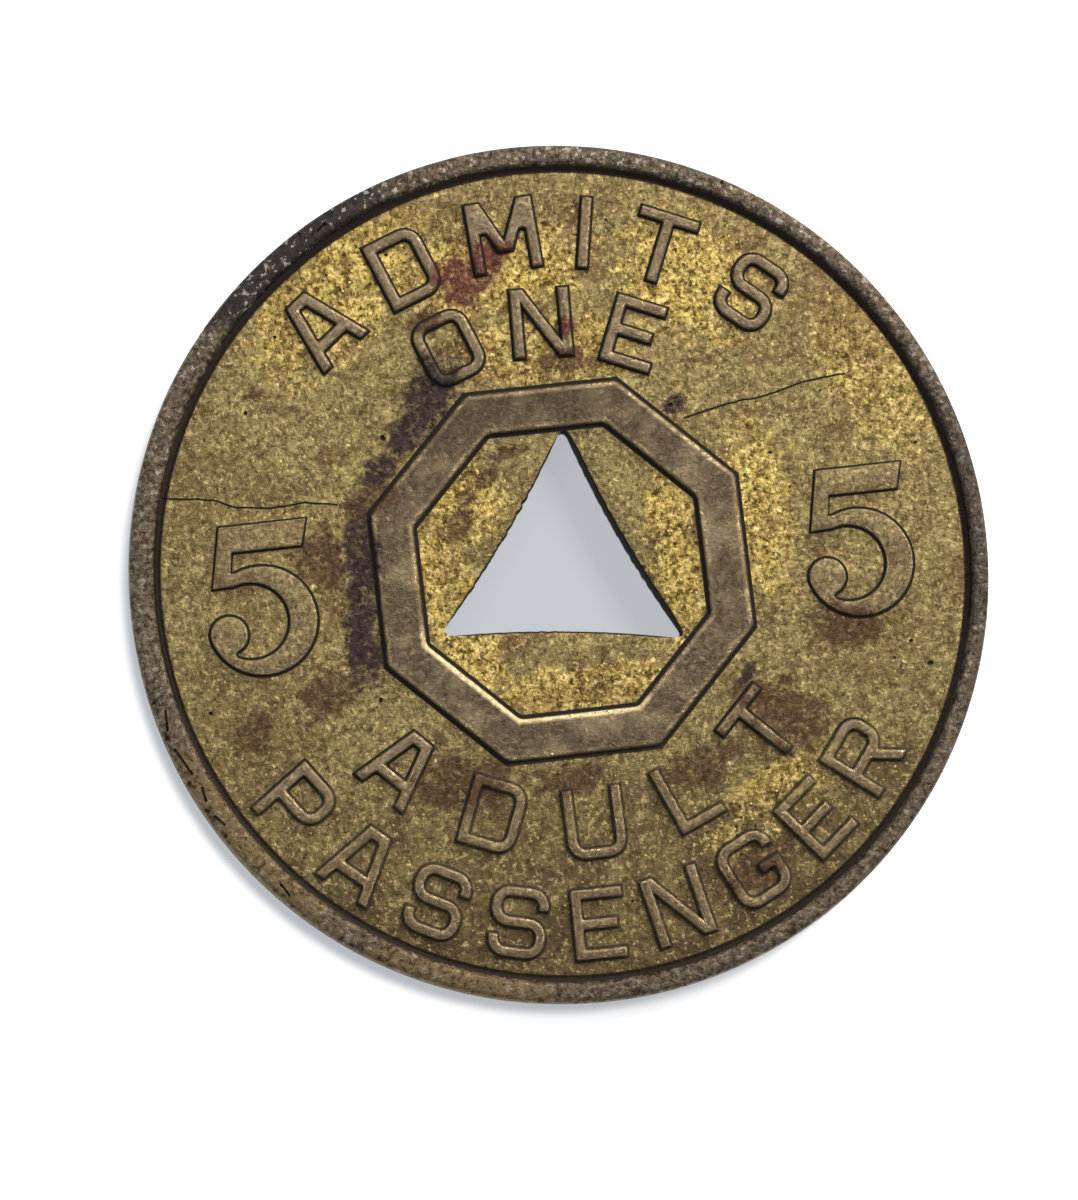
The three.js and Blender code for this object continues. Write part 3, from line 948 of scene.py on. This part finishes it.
def worn_shoulders_and_highlights(tree, at, lifted, colour):
    """The shoulders, paler where hands wear them, and a painted cream highlight at two edges of the
    octagon.
    """
    shoulder = node(tree, "MapRange", {0: lifted, 1: 0.118, 2: 0.14})
    shoulder_end = node(tree, "MapRange", {0: lifted, 1: 0.16, 2: 0.15})
    shoulder = node(tree, "Math", {0: shoulder, 1: shoulder_end}, operation="MULTIPLY")
    worn = node(tree, "MapRange", {0: at.cloud, 1: 0.4, 2: 0.6, 3: 0.25, 4: 0.8})
    shoulder = node(tree, "Math", {0: shoulder, 1: worn}, operation="MULTIPLY")
    colour = blend(tree, shoulder, colour, linear("#A8946E"))
    # Painted highlight: cream on the inner shoulders of the octagon's lower left and lower edges, which
    # face the key light
    band = node(tree, "MapRange", {0: lifted, 1: 0.11, 2: 0.125})
    band = node(tree, "Math", {0: band, 1: shoulder_end}, operation="MULTIPLY")
    painted_highlight = spots(tree, at.flat, OCTAGON_HIGHLIGHT_PATCHES, 0.9)
    painted_highlight = node(tree, "Math", {0: painted_highlight, 1: band}, operation="MULTIPLY")
    return blend(tree, painted_highlight, colour, linear("#DAC596")), shoulder


def stained(tree, at, colour):
    """Stains on the face that lies up: mottled, and thinner where the grit stands proud."""
    thin = node(tree, "MapRange", {0: at.grit, 1: 0.35, 2: 0.5, 3: 0.75, 4: 1.0})
    for patches, tone, light_tone, ragged, share in (
            (BROWN_STAINS, "#38271D", "#5E4632", 2.6, 0.9), (RED_STAINS, "#43231F", "#6B4038", 1.8, 0.95),
            (PURPLE_STAINS, "#211815", "#483A37", 2.0, 1.0)):
        stain = spots(tree, at.flat, patches, ragged)
        stain = node(tree, "Math", {0: stain, 1: at.upper}, operation="MULTIPLY")
        stain = node(tree, "Math", {0: stain, 1: share}, operation="MULTIPLY")
        stain = node(tree, "Math", {0: stain, 1: thin}, operation="MULTIPLY")
        tone = blend(tree, at.soft_tone, linear(tone), linear(light_tone))
        colour = blend(tree, stain, colour, tone)
    return colour


def grime_and_shade_mask(tree, at, lifted):
    """Grime round the foot of all raised work and in what is dug out, and in every crevice dirt with
    painted shade.
    """
    grime_and_shade = node(tree, "MapRange", {0: lifted, 1: 0.0002, 2: 0.002})
    grime_end = node(tree, "MapRange", {0: lifted, 1: 0.12, 2: 0.09})
    grime_and_shade = node(tree, "Math", {0: grime_and_shade, 1: grime_end}, operation="MULTIPLY")
    faint = node(tree, "MapRange", {0: at.y, 1: -4.9, 2: -5.2, 3: 1.0, 4: 0.75})
    grime_and_shade = node(tree, "Math", {0: grime_and_shade, 1: faint}, operation="MULTIPLY")
    # Painted shade: ambient occlusion darkens every crevice inside the rim, standing in for its dirt and
    # its shade together
    openness = node(tree, "AmbientOcclusion", {"Distance": 0.00012}, out=1, only_local=True, samples=8)
    crevice_dirt_and_shade = node(tree, "MapRange", {0: openness, 1: 0.8, 2: 0.5})
    clear_of_rim = node(tree, "Math", {0: at.from_middle, 1: 10.6}, operation="LESS_THAN")
    crevice_dirt_and_shade = node(tree, "Math", {0: crevice_dirt_and_shade, 1: clear_of_rim}, operation="MULTIPLY")
    grime_and_shade = node(tree, "Math", {0: grime_and_shade, 1: crevice_dirt_and_shade}, operation="MAXIMUM")
    dug = node(tree, "MapRange", {0: at.rise, 1: -0.003, 2: -0.015})
    dug = node(tree, "Math", {0: dug, 1: clear_of_rim}, operation="MULTIPLY")
    return node(tree, "Math", {0: grime_and_shade, 1: dug}, operation="MAXIMUM")


def rim_tone_glints_and_shade(tree, at, colour):
    """The rim: grey-brown, near black at its upper left, with painted glints towards its top, and dirt with
    painted shade in the groove at its foot.
    """
    rim = blend(tree, at.tone, linear("#3B3127"), linear("#7A6C5A"))
    golden_rim = spots(tree, at.flat, [(-9.2, -6.4, 7.0, 2.4, -55), (-4.0, -10.6, 6.0, 2.0, -20)], 1.5)
    rim = blend(tree, golden_rim, rim, linear("#705F43"))
    scorched = spots(tree, at.flat, [(-6.1, 9.4, 7.6, 2.2, 33)], 1.8)
    darkened = spots(tree, at.flat, [(10.9, 1.0, 9.0, 1.5, 90)], 1.8)
    darkened = node(tree, "Math", {0: darkened, 1: 0.4}, operation="MULTIPLY")
    scorched = node(tree, "Math", {0: scorched, 1: 0.9}, operation="MULTIPLY")
    scorched = node(tree, "Math", {0: scorched, 1: darkened}, operation="MAXIMUM")
    rim = blend(tree, scorched, rim, linear("#2D2A2B"))
    # Painted glints: pale grey specks on the rim, more of them towards its top
    painted_glints = node(tree, "MapRange", {0: at.y, 1: 2.0, 2: 9.0, 3: 0.35, 4: 0.8})
    glint_specks = node(tree, "MapRange", {0: at.grit, 1: 0.405, 2: 0.37})
    painted_glints = node(tree, "Math", {0: painted_glints, 1: glint_specks}, operation="MULTIPLY")
    rim = blend(tree, painted_glints, rim, linear("#A39B90"))
    rim_specks = node(tree, "MapRange", {0: at.grit, 1: 0.55, 2: 0.62, 4: 0.7})
    rim = blend(tree, rim_specks, rim, linear("#2A221B"))
    across = node(tree, "VectorMath", {0: at.flat, 1: RIM_OFF_CENTRE}, out=1, operation="DISTANCE")
    on_rim = node(tree, "MapRange", {0: across, 1: RIM_FOOT_RADIUS - 0.01, 2: RIM_FOOT_RADIUS + 0.03})
    colour = blend(tree, on_rim, colour, rim)
    # Dirt and painted shade: the rim's inner slope and the groove at its foot, near black all round
    rim_foot_dirt_and_shade = node(tree, "MapRange", {0: at.rise, 1: 0.15, 2: 0.09})
    rim_foot_dirt_and_shade = node(tree, "Math", {0: rim_foot_dirt_and_shade, 1: on_rim}, operation="MULTIPLY")
    inside_crest = node(tree, "Math", {0: across, 1: 11.1}, operation="LESS_THAN")
    rim_foot_dirt_and_shade = node(tree, "Math", {0: rim_foot_dirt_and_shade, 1: inside_crest}, operation="MULTIPLY")
    return blend(tree, rim_foot_dirt_and_shade, colour, linear("#241B14"))


def struck_brass():
    """Yellow brass, struck and long handled.

    The fields keep the fine pebbled skin that the die left, dull olive with yellow flecks. Grime sits round
    the foot of all raised work, with dirt and painted shade in every crevice, and the tops that hands reach
    are toned grey-brown.
    """
    material, tree, shader = new_material("struck_toned_brass")
    at = readings(tree)
    low_relief = numeral_areas(tree, at)
    gain = node(tree, "MapRange", {0: low_relief, 3: 1.0, 4: LETTER_RELIEF / NUMERAL_RELIEF})
    lifted = node(tree, "Math", {0: at.rise, 1: gain}, operation="MULTIPLY")

    colour = pebbled_field(tree, at)
    colour = worn_tops(tree, at, lifted, low_relief, colour)
    colour, shoulder = worn_shoulders_and_highlights(tree, at, lifted, colour)
    colour = stained(tree, at, colour)
    grime_and_shade = grime_and_shade_mask(tree, at, lifted)
    colour = blend(tree, grime_and_shade, colour, linear("#1C140B"))
    colour = rim_tone_glints_and_shade(tree, at, colour)

    # The sheared wall of the hole and the turned edge are below the field
    below = node(tree, "MapRange", {0: at.rise, 1: -0.08, 2: -0.12})
    wall = blend(tree, at.soft_tone, linear("#4A3E2C"), linear("#7C6C4C"))
    colour = blend(tree, below, colour, wall)

    # Grime and painted shade are dull and no metal, and the worn shoulders shine
    dull = node(tree, "MapRange", {0: at.grain, 1: 0.3, 2: 0.7, 3: 0.6, 4: 0.36})
    shine = node(tree, "Math", {0: shoulder, 1: 0.3}, operation="MULTIPLY")
    dull = node(tree, "Math", {0: dull, 1: shine}, operation="SUBTRACT")
    rough = node(tree, "Math", {0: dull, 1: grime_and_shade}, operation="MAXIMUM")
    metal = node(tree, "MapRange", {0: grime_and_shade, 3: 0.9, 4: 0.1})
    bumps = node(tree, "Bump", {"Height": at.grain, "Distance": 0.00005, "Strength": 1})

    tree.links.new(colour, shader.inputs["Base Color"])
    tree.links.new(rough, shader.inputs["Roughness"])
    tree.links.new(metal, shader.inputs["Metallic"])
    tree.links.new(bumps, shader.inputs["Normal"])
    return material


# ---- Putting it together --------------------------------------------------------------------

add_camera()
bpy.context.scene.view_settings.view_transform = "Standard"
add_room()
add_soft_box("key", 48, 42, 300, 110, 1.05, (1.0, 0.97, 0.92))
add_soft_box("fill", 160, 60, 320, 220, 0.35, (0.9, 0.95, 1.0))
add_table()

token = struck_token()
token.data.materials.clear()
token.data.materials.append(struck_brass())
hold(token)
bpy.ops.object.shade_smooth_by_angle(angle=math.radians(38))
even_light = token.modifiers.new("flat faces lead", "WEIGHTED_NORMAL")
even_light.keep_sharp = True
even_light.weight = 100
bpy.ops.object.modifier_apply(modifier=even_light.name)
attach(token, "root")
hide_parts("struck_token")
